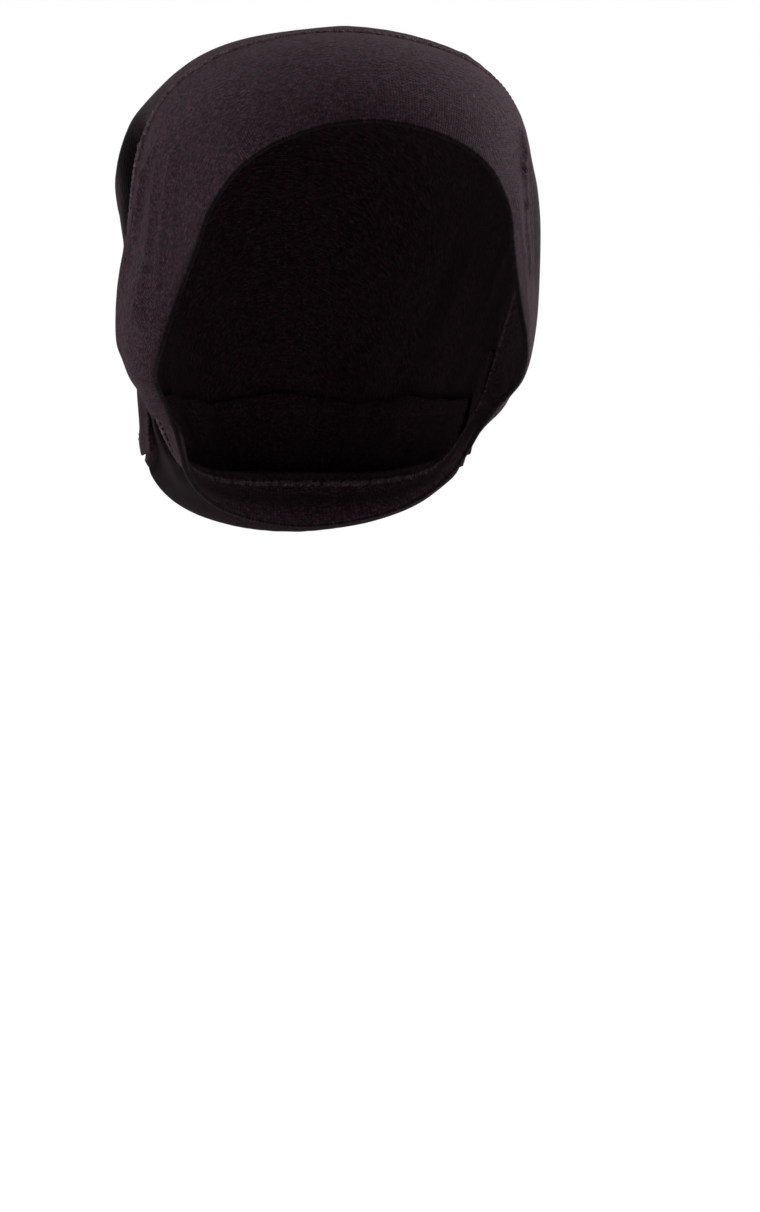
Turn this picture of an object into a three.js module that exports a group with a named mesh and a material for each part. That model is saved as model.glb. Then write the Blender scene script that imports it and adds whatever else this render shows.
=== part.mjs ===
// A jersey underscarf cap, in the form that it takes when it is worn.
// Millimetres, +Z up, the face looks along -Y, and the origin is the point inside the crown
// where the top of the head bears. A doubled front band frames the face from the hairline to
// the nape. A rolled seam joins it to the crown panel, which hangs down behind and ends in an
// open hem, and to the nape panel, which sags as a pouch below that hem and tucks up inside it.
import * as THREE from "three";

// Outer sizes of the worn cap.
const capBreadth = 154.5; // across the ears
const foreheadReach = 93; // from the middle of the head forwards
const occiputReach = 98; // from the middle of the head backwards
const crownHeight = 76; // from the widest level up to the crown
const capDrop = 184; // from the crown down to the foot of the nape pouch

// Cloth, seam and hem.
const bandWall = 2; // two layers of jersey with air between
const bodyWall = 1.2; // one layer
const seamWidth = 2.6; // the rolled seam allowance
const seamRise = 1.5; // how far the roll stands above and below the cloth's middle
const hemDepth = 9; // the turned-up end of the crown panel
const hemWall = 2.2;
const pieceGap = 0.45; // between pieces that are sewn together

// The open end of the crown panel, seen from above as a part of an ellipse round the nape.
const mouthBreadth = 125;
const mouthLength = 66; // from its corners back to its middle
const mouthCorner = 35; // how far its corners lie behind the middle of the head
const mouthDrop = 153; // from the crown down to the hem
const mouthAngle = 1.57; // radians from the middle of the nape to each side edge
const mouthHook = 1.5; // how far each side edge turns in

// The nape panel, which hangs below the open end and tucks up inside it.
const footInset = 13; // how far its foot lies inside the open end, at the middle
const sideInset = 0.5; // the same at the sides
const sideHook = 4; // how much further it turns in at its two ends
const turnOver = 4.5; // size of the turn that it makes at the seam
const tuckGap = 1.6; // between the hem and the cloth inside it
const tuckHeight = 22; // how far it reaches up inside
const sideTuck = 6.5; // how far it goes in there at the sides, under the crown panel's edges
const footRound = 2; // how far the cloth hangs in its curve below the foot's own line
const endTuck = 3.6; // how far its two ends start below the crown panel's corners
const endShare = 0.55; // where they start to go below
const sideRise = 5; // how far its foot lies above the open end at the sides
const napeSpan = 0.94; // the share of the seam below the open end that it is sewn to
const tuckSpan = 0.86; // how much narrower it is inside the open end

// Roundness of the head form: 2 is an ellipse, and more is squarer.
const planRoundness = 2.2;
const crownRoundness = 2.5;
const footReach = 230; // how slowly the form narrows below its widest level

// Mesh fineness.
const ringSteps = 86;
const bandSteps = 10;
const crownSteps = 16;
const crownColumns = 68;
const napeColumns = 36;
const napeSteps = 10;
const hemSteps = 2;
const rollSides = 6;

const halfBreadth = capBreadth / 2;
const halfLength = (foreheadReach + occiputReach) / 2;
const formCentre = new THREE.Vector3(0, 0, bodyWall - crownHeight);

// The face edge and the crown seam, from the brow (first row) round the right side to the nape.
// x is a share of halfBreadth, y of halfLength and drop of capDrop.
const ringRows = [
  { edgeX: 0, edgeY: -0.911, edgeDrop: 0.219, seamX: 0, seamY: -0.37, seamDrop: 0.0196 },
  { edgeX: 0.311, edgeY: -0.887, edgeDrop: 0.241, seamX: 0.337, seamY: -0.363, seamDrop: 0.036 },
  { edgeX: 0.551, edgeY: -0.822, edgeDrop: 0.293, seamX: 0.627, seamY: -0.33, seamDrop: 0.078 },
  { edgeX: 0.691, edgeY: -0.697, edgeDrop: 0.373, seamX: 0.818, seamY: -0.255, seamDrop: 0.143 },
  { edgeX: 0.75, edgeY: -0.573, edgeDrop: 0.464, seamX: 0.93, seamY: -0.18, seamDrop: 0.239 },
  { edgeX: 0.808, edgeY: -0.462, edgeDrop: 0.55, seamX: 0.975, seamY: -0.1, seamDrop: 0.348 },
  { edgeX: 0.864, edgeY: -0.381, edgeDrop: 0.642, seamX: 0.961, seamY: 0.052, seamDrop: 0.478 },
  { edgeX: 0.867, edgeY: -0.262, edgeDrop: 0.696, seamX: 0.89, seamY: 0.199, seamDrop: 0.636 },
  { edgeX: 0.761, edgeY: -0.047, edgeDrop: 0.772, seamX: 0.781, seamY: 0.215, seamDrop: 0.763 },
  { edgeX: 0.658, edgeY: 0.178, edgeDrop: 0.88, seamX: 0.639, seamY: 0.319, seamDrop: 0.856 },
  { edgeX: 0.439, edgeY: 0.398, edgeDrop: 0.951, seamX: 0.426, seamY: 0.524, seamDrop: 0.889 },
  { edgeX: 0, edgeY: 0.545, edgeDrop: 0.984, seamX: 0, seamY: 0.66, seamDrop: 0.894 },
];
const cornerRow = 7; // the row whose seam point starts the side edges of the crown panel

// Swells of the band between its two edges, on rows of the same number: shares of halfBreadth.
const bandSwell = [
  { left: 0, right: 0 },
  { left: 0, right: 0 },
  { left: 0, right: 0 },
  { left: 0.01, right: 0.018 },
  { left: 0.025, right: 0.032 },
  { left: 0.045, right: 0.038 },
  { left: 0.095, right: 0.04 },
  { left: 0.1, right: 0.03 },
  { left: 0, right: 0.01 },
  { left: 0, right: 0 },
  { left: 0, right: 0 },
  { left: 0, right: 0 },
];

// Folds of the band. Each runs from one end to the other. around is in turns from the brow and
// negative on the cap's left (the wearer's right), across is 0 at the face edge and 1 at the seam.
const bandFolds = [
  { around: -0.16, across: 0.58, aroundEnd: -0.258, acrossEnd: 0.38, spread: 0.07, height: 0.014 },
  { around: -0.15, across: 0.45, aroundEnd: -0.233, acrossEnd: 0.24, spread: 0.06, height: 0.012 },
  { around: -0.155, across: 0.06, aroundEnd: -0.225, acrossEnd: 0.07, spread: 0.06, height: 0.012 },
  { around: -0.17, across: 0.74, aroundEnd: -0.245, acrossEnd: 0.84, spread: 0.06, height: 0.018 },
  { around: -0.2, across: 0.68, aroundEnd: -0.25, acrossEnd: 0.68, spread: 0.06, height: -0.014 },
  { around: -0.33, across: 0.75, aroundEnd: -0.362, acrossEnd: 0.05, spread: 0.09, height: 0.03 },
  { around: -0.375, across: 0.8, aroundEnd: -0.4, acrossEnd: 0.15, spread: 0.09, height: -0.03 },
  { around: 0.136, across: 0.41, aroundEnd: 0.22, acrossEnd: 0.25, spread: 0.06, height: 0.014 },
  { around: 0.16, across: 0.48, aroundEnd: 0.24, acrossEnd: 0.42, spread: 0.07, height: -0.016 },
  { around: 0.14, across: 0.1, aroundEnd: 0.25, acrossEnd: 0.1, spread: 0.06, height: 0.012 },
  { around: 0.335, across: 0.75, aroundEnd: 0.362, acrossEnd: 0.05, spread: 0.09, height: 0.025 },
  { around: 0.378, across: 0.8, aroundEnd: 0.4, acrossEnd: 0.15, spread: 0.09, height: -0.025 },
];

// Folds of the crown panel. Each runs from one end to the other. around is 0 at the crown's
// middle and 1 at the mouth's corner, negative on the cap's left (the wearer's right), across is
// 0 at the seam and 1 at the hem. spread and height are shares of halfBreadth.
const crownFolds = [
  { around: -0.54, across: 0.1, aroundEnd: -0.74, acrossEnd: 0.11, spread: 0.09, height: -0.075 },
  { around: 0.56, across: 0.1, aroundEnd: 0.74, acrossEnd: 0.11, spread: 0.09, height: -0.045 },
  { around: -0.69, across: 0.4, aroundEnd: -0.85, acrossEnd: 0.34, spread: 0.28, height: -0.055 },
  { around: -0.52, across: 0.62, aroundEnd: -0.5, acrossEnd: 1, spread: 0.15, height: -0.04 },
  { around: -0.25, across: 0.52, aroundEnd: -0.24, acrossEnd: 1, spread: 0.16, height: 0.045 },
  { around: 0, across: 0.6, aroundEnd: 0, acrossEnd: 1, spread: 0.15, height: -0.05 },
  { around: 0.24, across: 0.5, aroundEnd: 0.25, acrossEnd: 1, spread: 0.16, height: 0.045 },
  { around: 0.5, across: 0.6, aroundEnd: 0.5, acrossEnd: 1, spread: 0.14, height: -0.04 },
];

const mirrored = (points) => [
  ...points,
  ...points
    .slice(1, -1)
    .reverse()
    .map((p) => new THREE.Vector3(-p.x, p.y, p.z)),
];

const placed = (x, y, drop) =>
  new THREE.Vector3(x * halfBreadth, y * halfLength, -drop * capDrop);

const closedCurve = (points) =>
  new THREE.CatmullRomCurve3(mirrored(points), true, "centripetal");

const faceEdge = closedCurve(ringRows.map((r) => placed(r.edgeX, r.edgeY, r.edgeDrop)));
const crownSeam = closedCurve(ringRows.map((r) => placed(r.seamX, r.seamY, r.seamDrop)));
const ringCount = 2 * (ringRows.length - 1);
const cornerTurn = cornerRow / ringCount;
const ringLength = faceEdge.getLength();

// A turn is 0 at the brow, 0.25 on the right, 0.5 at the nape and 0.75 on the left.
const wrap = (turn) => ((turn % 1) + 1) % 1;
const swellAt = (turn) => {
  const row = Math.min(wrap(turn), 1 - wrap(turn)) * ringCount;
  const low = Math.min(Math.floor(row), bandSwell.length - 2);
  const side = wrap(turn) < 0.5 ? "right" : "left";
  const [from, to] = [bandSwell[low][side], bandSwell[low + 1][side]];
  return THREE.MathUtils.lerp(from, to, row - low) * halfBreadth;
};

// Distance from the form's centre to its skin, along a direction of length 1.
function formRadius(direction) {
  const length = direction.y < 0 ? foreheadReach : occiputReach;
  const height = direction.z > 0 ? crownHeight : footReach;
  const plan =
    Math.abs(direction.x / halfBreadth) ** planRoundness +
    Math.abs(direction.y / length) ** planRoundness;
  const whole =
    plan ** (crownRoundness / planRoundness) + Math.abs(direction.z / height) ** crownRoundness;
  return whole ** (-1 / crownRoundness);
}

// A direction at a share of the turn from one direction to another.
function between(a, b, share) {
  const angle = a.angleTo(b);
  if (angle < 1e-6) return a.clone();
  return a
    .clone()
    .multiplyScalar(Math.sin((1 - share) * angle))
    .addScaledVector(b, Math.sin(share * angle))
    .normalize();
}

// The way over the form from one point to another, bent towards a third. The first one's height
// above the form has gone at the share leave, and the last one's grows from start to arrive.
function overForm(from, to, { bend, leave = 1, start = 0, arrive = 1 } = {}) {
  const [a, b, c] = [from, to, bend ?? to].map((point) => point.clone().sub(formCentre));
  const lengthA = a.length();
  const lengthB = b.length();
  [a, b, c].forEach((direction) => direction.normalize());
  const insetA = lengthA - formRadius(a);
  const insetB = lengthB - formRadius(b);
  return (share, lift = 0) => {
    const direction = bend
      ? between(between(a, c, share), between(c, b, share), share)
      : between(a, b, share);
    const inset =
      insetA * (1 - THREE.MathUtils.smoothstep(share, 0, leave)) +
      insetB * THREE.MathUtils.smoothstep(share, start, arrive);
    return direction.multiplyScalar(formRadius(direction) + inset + lift).add(formCentre);
  };
}

// The same way with its share counted in even lengths, and its whole length.
function evenly(way) {
  const pieces = 30;
  const run = [0];
  for (let i = 1; i <= pieces; i += 1) {
    const step = way(i / pieces).distanceTo(way((i - 1) / pieces));
    run.push(run[i - 1] + step);
  }
  const length = run[pieces];
  const at = (share, lift) => {
    const goal = share * length;
    let i = 1;
    while (i < pieces && run[i] < goal) i += 1;
    const part = (goal - run[i - 1]) / (run[i] - run[i - 1]);
    return way((i - 1 + part) / pieces, lift);
  };
  return { at, length };
}

// The height of all folds at one place of a panel, whose sides are given in millimetres.
function foldHeight(folds, around, across, sideAround, sideAcross) {
  return folds.reduce((sum, f) => {
    const alongX = (f.aroundEnd - f.around) * sideAround;
    const alongY = (f.acrossEnd - f.across) * sideAcross;
    const x = (around - f.around) * sideAround;
    const y = (across - f.across) * sideAcross;
    const square = alongX ** 2 + alongY ** 2;
    const share = THREE.MathUtils.clamp((x * alongX + y * alongY) / square, 0, 1);
    const away = Math.hypot(x - share * alongX, y - share * alongY);
    return sum + f.height * halfBreadth * Math.exp(-((away / (f.spread * halfBreadth)) ** 2));
  }, 0);
}

// Outward normals of a grid of points whose rows run across and whose columns run around.
function gridNormals(grid, closed) {
  const rows = grid.length;
  const columns = grid[0].length;
  return grid.map((line, i) =>
    line.map((point, j) => {
      const left = closed ? (j + columns - 1) % columns : Math.max(j - 1, 0);
      const right = closed ? (j + 1) % columns : Math.min(j + 1, columns - 1);
      const around = line[right].clone().sub(line[left]);
      const across = grid[Math.min(i + 1, rows - 1)][j]
        .clone()
        .sub(grid[Math.max(i - 1, 0)][j]);
      return around.cross(across).normalize();
    }),
  );
}

// A closed solid between an outer grid and the same grid moved in by the wall.
function clothSolid(grid, normals, wall, closed) {
  const rows = grid.length;
  const columns = grid[0].length;
  const inner = grid.map((line, i) =>
    line.map((point, j) => point.clone().addScaledVector(normals[i][j], -wall)),
  );
  const positions = [...grid, ...inner].flat().flatMap((p) => [p.x, p.y, p.z]);
  const outerAt = (i, j) => i * columns + (j % columns);
  const innerAt = (i, j) => rows * columns + outerAt(i, j);
  const faces = [];
  const quad = (a, b, c, d) => faces.push(a, b, c, a, c, d);
  const lastColumn = closed ? columns : columns - 1;
  for (let j = 0; j < lastColumn; j += 1) {
    for (let i = 0; i < rows - 1; i += 1) {
      quad(outerAt(i, j), outerAt(i, j + 1), outerAt(i + 1, j + 1), outerAt(i + 1, j));
      quad(innerAt(i, j), innerAt(i + 1, j), innerAt(i + 1, j + 1), innerAt(i, j + 1));
    }
    quad(outerAt(0, j), innerAt(0, j), innerAt(0, j + 1), outerAt(0, j + 1));
    const end = rows - 1;
    quad(outerAt(end, j), outerAt(end, j + 1), innerAt(end, j + 1), innerAt(end, j));
  }
  if (!closed) {
    for (let i = 0; i < rows - 1; i += 1) {
      const end = columns - 1;
      quad(outerAt(i, 0), outerAt(i + 1, 0), innerAt(i + 1, 0), innerAt(i, 0));
      quad(outerAt(i, end), innerAt(i, end), innerAt(i + 1, end), outerAt(i + 1, end));
    }
  }
  const geometry = new THREE.BufferGeometry();
  geometry.setAttribute("position", new THREE.Float32BufferAttribute(positions, 3));
  geometry.setIndex(faces);
  geometry.computeVertexNormals();
  return geometry;
}

const jersey = { color: 0x2f2629, roughness: 0.9, metalness: 0 };

function clothMesh(name, geometry, finish = {}) {
  const mesh = new THREE.Mesh(geometry, new THREE.MeshStandardMaterial({ ...jersey, ...finish }));
  mesh.name = name;
  return mesh;
}

// The seam at a turn: its point, its direction, the way back from the face, and outwards.
function seamFrame(turn) {
  const point = crownSeam.getPoint(turn);
  const along = crownSeam.getTangent(turn);
  const back = point.clone().sub(faceEdge.getPoint(turn));
  back.addScaledVector(along, -back.dot(along)).normalize();
  const out = along.clone().cross(back).normalize();
  return { point, along, back, out };
}

// Half of the strip along the seam that the roll and its gaps take up.
const seamKeep = seamWidth / 2 + pieceGap;

function frontBand() {
  const grid = Array.from({ length: bandSteps + 1 }, () => []);
  const seamOut = [];
  for (let j = 0; j < ringSteps; j += 1) {
    const turn = j / ringSteps;
    const seam = seamFrame(turn);
    seamOut.push(seam.out);
    const end = seam.point.addScaledVector(seam.back, -seamKeep);
    const { at, length } = evenly(overForm(faceEdge.getPoint(turn), end));
    const around = turn < 0.5 ? turn : turn - 1;
    for (let i = 0; i <= bandSteps; i += 1) {
      const share = i / bandSteps;
      const fold = foldHeight(bandFolds, around, share, ringLength, length);
      grid[i].push(at(share, (swellAt(turn) + fold) * Math.sin(Math.PI * share) ** 0.7));
    }
  }
  const normals = gridNormals(grid, true);
  normals[bandSteps] = seamOut;
  return clothMesh("front_band", clothSolid(grid, normals, bandWall, true));
}

// The open hem's line: around runs from -1 at its left edge to 1 at its right edge.
function mouthPoint(around) {
  const angle = mouthAngle * around;
  const hook = Math.sign(around) * THREE.MathUtils.smoothstep(Math.abs(around), 0.92, 1);
  return new THREE.Vector3(
    (Math.sin(angle) * mouthBreadth) / 2 - hook * mouthHook,
    mouthCorner + Math.cos(angle) * mouthLength,
    -mouthDrop,
  );
}

// One line of the crown panel from the seam down to the hem.
function crownLine(around) {
  const seam = seamFrame(wrap(around * cornerTurn));
  const from = seam.point.addScaledVector(seam.back, seamKeep);
  const to = mouthPoint(around);
  const reach = 0.4 * from.distanceTo(to) * (1 - around ** 4);
  const bend = from.clone().add(new THREE.Vector3(0, reach, 0));
  const side = around ** 2;
  const shape = {
    bend,
    leave: 0.3,
    start: 0.4 * (1 - side),
    arrive: THREE.MathUtils.lerp(1, 0.65, side),
  };
  const { at, length } = evenly(overForm(from, to, shape));
  const panelLength = halfBreadth + capDrop / 2;
  return {
    length,
    seamOut: seam.out,
    at: (share) => {
      const lift = foldHeight(crownFolds, around, share, panelLength, length);
      const fade = THREE.MathUtils.smoothstep(share * length, 0, 3 * seamWidth);
      const atEdge = 1 - THREE.MathUtils.smoothstep(Math.abs(around), 0.85, 1);
      return at(share, lift * fade * atEdge);
    },
  };
}

// The same line with the cloth's outward normal along it.
function crownWay(around) {
  const probe = 0.01;
  const line = crownLine(around);
  const left = crownLine(Math.max(around - probe, -1));
  const right = crownLine(Math.min(around + probe, 1));
  const normal = (share) => {
    const across = line.at(Math.min(share + probe, 1)).sub(line.at(Math.max(share - probe, 0)));
    return right.at(share).sub(left.at(share)).cross(across).normalize();
  };
  return { ...line, normal };
}

// The crown panel between two distances from its ends, in millimetres, moved out by a lift.
function crownGrid(fromTop, fromHem, steps, lift) {
  const grid = Array.from({ length: steps + 1 }, () => []);
  const normals = Array.from({ length: steps + 1 }, () => []);
  for (let j = 0; j <= crownColumns; j += 1) {
    const way = crownWay((2 * j) / crownColumns - 1);
    const start = fromTop(way.length) / way.length;
    const end = 1 - fromHem / way.length;
    for (let i = 0; i <= steps; i += 1) {
      const share = THREE.MathUtils.lerp(start, end, (i / steps) ** 1.3);
      const hemStart = 1 - hemDepth / way.length;
      const besideHem = Math.abs(share - hemStart) < (2 * pieceGap) / way.length;
      const normal = share > 0 ? way.normal(besideHem ? hemStart : share) : way.seamOut;
      grid[i].push(way.at(share).addScaledVector(normal, lift));
      normals[i].push(normal);
    }
  }
  return { grid, normals };
}

function crownPanel() {
  const { grid, normals } = crownGrid(() => 0, hemDepth + pieceGap, crownSteps, 0);
  return clothMesh("crown_panel", clothSolid(grid, normals, bodyWall, false));
}

function openHem() {
  const proud = (hemWall - bodyWall) / 2;
  const { grid, normals } = crownGrid((length) => length - hemDepth, 0, hemSteps, proud);
  return clothMesh("open_hem", clothSolid(grid, normals, hemWall, false));
}

// One line of the nape panel: it turns over at the seam, sags to its foot and comes up inside
// the mouth.
function napeWay(around) {
  const { point, back, out } = seamFrame(wrap(0.5 - around * (0.5 - cornerTurn)));
  const under = endTuck * THREE.MathUtils.smoothstep(Math.abs(around), endShare, 1);
  const start = point.addScaledVector(back, seamKeep).addScaledVector(out, -under);
  const middle = Math.cos((around * Math.PI) / 2);
  const over = start.clone().addScaledVector(back, turnOver);
  const down = over.clone();
  over.addScaledVector(out, THREE.MathUtils.lerp(-sideTuck / 2, turnOver / 5, middle));
  down.addScaledVector(out, THREE.MathUtils.lerp(-sideTuck, turnOver, middle));
  const crown = crownWay(tuckSpan * around);
  const room = hemWall + tuckGap;
  const inside = (depth) => {
    const share = 1 - depth / crown.length;
    return crown.at(share).addScaledVector(crown.normal(share), -room);
  };
  const hook = Math.sign(around) * THREE.MathUtils.smoothstep(Math.abs(around), 0.75, 1);
  const foot = new THREE.Vector3(
    Math.sin((around * Math.PI) / 2) * (mouthBreadth / 2 - sideInset) - hook * sideHook,
    mouthCorner + middle * (mouthLength - footInset),
    THREE.MathUtils.lerp(sideRise - mouthDrop, footRound - capDrop, middle ** 0.9),
  );
  const belly = down.clone().lerp(foot, 0.5).addScaledVector(out, -sideTuck * (1 - middle));
  return {
    seamOut: out,
    curve: new THREE.CatmullRomCurve3(
      [start, over, down, belly, foot, inside(0), inside(tuckHeight / 2), inside(tuckHeight)],
      false,
      "centripetal",
    ),
  };
}

function napePanel() {
  const grid = Array.from({ length: napeSteps + 1 }, () => []);
  const seamOut = [];
  for (let j = 0; j <= napeColumns; j += 1) {
    const way = napeWay(napeSpan * (1 - (2 * j) / napeColumns));
    seamOut.push(way.seamOut);
    for (let i = 0; i <= napeSteps; i += 1) {
      grid[i].push(way.curve.getPointAt((i / napeSteps) ** 1.5));
    }
  }
  const normals = gridNormals(grid, false);
  normals[0] = seamOut;
  return clothMesh("nape_panel", clothSolid(grid, normals, bodyWall, false));
}

// The rolled seam allowance: an oval section carried round the whole seam.
function seamRoll() {
  const grid = Array.from({ length: rollSides }, () => []);
  for (let j = 0; j < ringSteps; j += 1) {
    const turn = j / ringSteps;
    const { point, back, out } = seamFrame(turn);
    const seat = point.addScaledVector(out, -bodyWall / 2);
    for (let k = 0; k < rollSides; k += 1) {
      const angle = (-2 * Math.PI * k) / rollSides;
      grid[k].push(
        seat
          .clone()
          .addScaledVector(back, (Math.cos(angle) * seamWidth) / 2)
          .addScaledVector(out, Math.sin(angle) * seamRise),
      );
    }
  }
  const positions = grid.flat().flatMap((p) => [p.x, p.y, p.z]);
  const faces = [];
  for (let k = 0; k < rollSides; k += 1) {
    for (let j = 0; j < ringSteps; j += 1) {
      const next = (j + 1) % ringSteps;
      const over = (k + 1) % rollSides;
      const a = k * ringSteps + j;
      const b = k * ringSteps + next;
      const c = over * ringSteps + next;
      const d = over * ringSteps + j;
      faces.push(a, b, c, a, c, d);
    }
  }
  const geometry = new THREE.BufferGeometry();
  geometry.setAttribute("position", new THREE.Float32BufferAttribute(positions, 3));
  geometry.setIndex(faces);
  geometry.computeVertexNormals();
  return clothMesh("crown_seam", geometry, { color: 0x272023 });
}

const cap = new THREE.Group();
cap.add(frontBand(), seamRoll(), crownPanel(), openHem(), napePanel());
export default cap;
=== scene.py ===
import math
import bpy
import numpy as np
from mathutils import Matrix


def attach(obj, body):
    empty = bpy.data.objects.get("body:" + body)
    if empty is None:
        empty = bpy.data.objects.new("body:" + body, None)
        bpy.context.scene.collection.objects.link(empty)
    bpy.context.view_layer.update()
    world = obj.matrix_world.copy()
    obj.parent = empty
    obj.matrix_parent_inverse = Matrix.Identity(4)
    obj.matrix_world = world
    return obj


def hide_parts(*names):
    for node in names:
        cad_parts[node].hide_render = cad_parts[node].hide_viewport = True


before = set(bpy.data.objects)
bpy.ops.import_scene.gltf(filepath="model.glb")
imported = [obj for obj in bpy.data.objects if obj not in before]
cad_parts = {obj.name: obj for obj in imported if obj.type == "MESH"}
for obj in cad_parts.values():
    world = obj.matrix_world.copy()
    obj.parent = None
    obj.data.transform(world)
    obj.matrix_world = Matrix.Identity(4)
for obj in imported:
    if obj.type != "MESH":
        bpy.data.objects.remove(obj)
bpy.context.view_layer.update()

mm = 0.001

# All shapes below are worked out in millimetres and stored in metres.
# The worn form of the cap, as the solids have it.
capForm = {
    "breadth": 154.5,  # across the ears
    "foreheadReach": 93,
    "occiputReach": 98,
    "crownHeight": 76,
    "drop": 184,  # from the crown to the foot of the pouch
    "footReach": 230,
    "planRoundness": 2.2,
    "crownRoundness": 2.5,
    "bodyWall": 1.2,
    "seamKeep": 0.7,  # the panels run in below the rolled seam
}

# face edge x, y, drop, then crown seam x, y, drop, from the brow to the nape:
# x is a share of half the breadth, y of half the length and drop of the whole drop
ringRows = np.array([
    [0, -0.911, 0.219, 0, -0.37, 0.0196],
    [0.311, -0.887, 0.241, 0.337, -0.363, 0.036],
    [0.551, -0.822, 0.293, 0.627, -0.33, 0.078],
    [0.691, -0.697, 0.373, 0.818, -0.255, 0.143],
    [0.75, -0.573, 0.464, 0.93, -0.18, 0.239],
    [0.808, -0.462, 0.55, 0.975, -0.1, 0.348],
    [0.864, -0.381, 0.642, 0.961, 0.052, 0.478],
    [0.867, -0.262, 0.696, 0.89, 0.199, 0.636],
    [0.761, -0.047, 0.772, 0.781, 0.215, 0.763],
    [0.658, 0.178, 0.88, 0.639, 0.319, 0.856],
    [0.439, 0.398, 0.951, 0.426, 0.524, 0.889],
    [0, 0.545, 0.984, 0, 0.66, 0.894],
])
cornerRow = 7  # where the side edges of the crown panel start

halfBreadth = capForm["breadth"] / 2
halfLength = (capForm["foreheadReach"] + capForm["occiputReach"]) / 2
formCentre = np.array([0, 0, capForm["bodyWall"] - capForm["crownHeight"]])


def unit(v):
    return v / np.maximum(np.linalg.norm(v, axis=-1, keepdims=True), 1e-12)


def smoothStep(x, low, high):
    t = np.clip((x - low) / (high - low), 0, 1)
    return t * t * (3 - 2 * t)


def mirroredRing(rows, side=-1):
    back = rows[1:-1][::-1] * np.array([side] + [1] * (rows.shape[1] - 1))
    return np.concatenate([rows, back])


def ringPoint(points, turn):
    # a smooth closed curve through points, with turn from 0 to 1
    count = len(points)
    place = np.mod(turn, 1) * count
    low = np.floor(place).astype(int)
    t = (place - low)[..., None]
    p0, p1, p2, p3 = [points[(low + k) % count] for k in (-1, 0, 1, 2)]
    d0, d1, d2 = [
        np.maximum(np.linalg.norm(b - a, axis=-1, keepdims=True), 1e-9) ** 0.5
        for a, b in ((p0, p1), (p1, p2), (p2, p3))
    ]
    t1 = ((p1 - p0) / d0 - (p2 - p0) / (d0 + d1) + (p2 - p1) / d1) * d1
    t2 = ((p2 - p1) / d1 - (p3 - p1) / (d1 + d2) + (p3 - p2) / d2) * d1
    return p1 + t * t1 + t ** 2 * (3 * (p2 - p1) - 2 * t1 - t2) + t ** 3 * (2 * (p1 - p2) + t1 + t2)


place = np.array([halfBreadth, halfLength, -capForm["drop"]])
edgeRing = mirroredRing(ringRows[:, :3] * place)
seamRing = mirroredRing(ringRows[:, 3:] * place)
# the seam sits a little nearer the brow on the left and further in on the right, in mm
for row, right, back in ((4, -1.7, 0), (5, -0.5, 0), (-4, 0.6, -3.2), (-5, 1.2, -5.5), (-6, 0.6, -3)):
    seamRing[row] += [right, back, 0]
cornerTurn = cornerRow / len(edgeRing)


def seamFrame(turn):
    # a point of the crown seam, its direction, the way back from the face, and outwards
    point = ringPoint(seamRing, turn)
    along = unit(ringPoint(seamRing, turn + 1e-4) - ringPoint(seamRing, turn - 1e-4))
    back = point - ringPoint(edgeRing, turn)
    back = unit(back - np.sum(back * along, axis=-1, keepdims=True) * along)
    return point, along, back, np.cross(along, back)


def formRadius(direction):
    x, y, z = direction[..., 0], direction[..., 1], direction[..., 2]
    length = np.where(y < 0, capForm["foreheadReach"], capForm["occiputReach"])
    height = np.where(z > 0, capForm["crownHeight"], capForm["footReach"])
    n, m = capForm["planRoundness"], capForm["crownRoundness"]
    plan = np.abs(x / halfBreadth) ** n + np.abs(y / length) ** n
    return (plan ** (m / n) + np.abs(z / height) ** m) ** (-1 / m)


def between(a, b, share):
    angle = np.arccos(np.clip(np.sum(a * b, axis=-1, keepdims=True), -1, 1))
    angle = np.maximum(angle, 1e-6)
    return unit(np.sin((1 - share) * angle) * a + np.sin(share * angle) * b)


def overForm(start, end, bend=None, leave=1, begin=0, arrive=1):
    # the way over the form from start to end, bent towards a third point
    a, b = start - formCentre, end - formCentre
    c = (end if bend is None else bend) - formCentre
    insetA = np.linalg.norm(a, axis=-1) - formRadius(unit(a))
    insetB = np.linalg.norm(b, axis=-1) - formRadius(unit(b))
    a, b, c = unit(a), unit(b), unit(c)

    def way(share, lift=0):
        s = share[..., None]
        direction = between(a, b, s) if bend is None else between(between(a, c, s), between(c, b, s), s)
        inset = insetA * (1 - smoothStep(share, 0, leave)) + insetB * smoothStep(share, begin, arrive)
        return direction * (formRadius(direction) + inset + lift)[..., None] + formCentre

    return way


def evenly(way, columns):
    # the same way, with its share counted in even lengths
    steps = np.linspace(0, 1, 61)
    grid = way(np.repeat(steps[:, None], columns, axis=1))
    run = np.zeros((61, columns))
    run[1:] = np.cumsum(np.linalg.norm(np.diff(grid, axis=0), axis=-1), axis=0)
    length = run[-1]

    def at(share, lift=0):
        moved = np.empty_like(share)
        for j in range(columns):
            moved[:, j] = np.interp(share[:, j] * length[j], run[:, j], steps)
        return way(moved, lift)

    return at, length


def foldHeight(folds, around, across, sideAround, sideAcross):
    # folds are rows of: around, across, around at the end, across at the end, spread, height
    total = np.zeros(np.broadcast(around, across).shape)
    for a0, c0, a1, c1, spread, height in folds:
        alongX, alongY = (a1 - a0) * sideAround, (c1 - c0) * sideAcross
        x, y = (around - a0) * sideAround, (across - c0) * sideAcross
        share = np.clip((x * alongX + y * alongY) / (alongX ** 2 + alongY ** 2), 0, 1)
        away = np.hypot(x - share * alongX, y - share * alongY)
        total += height * halfBreadth * np.exp(-((away / (spread * halfBreadth)) ** 2))
    return total


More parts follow.
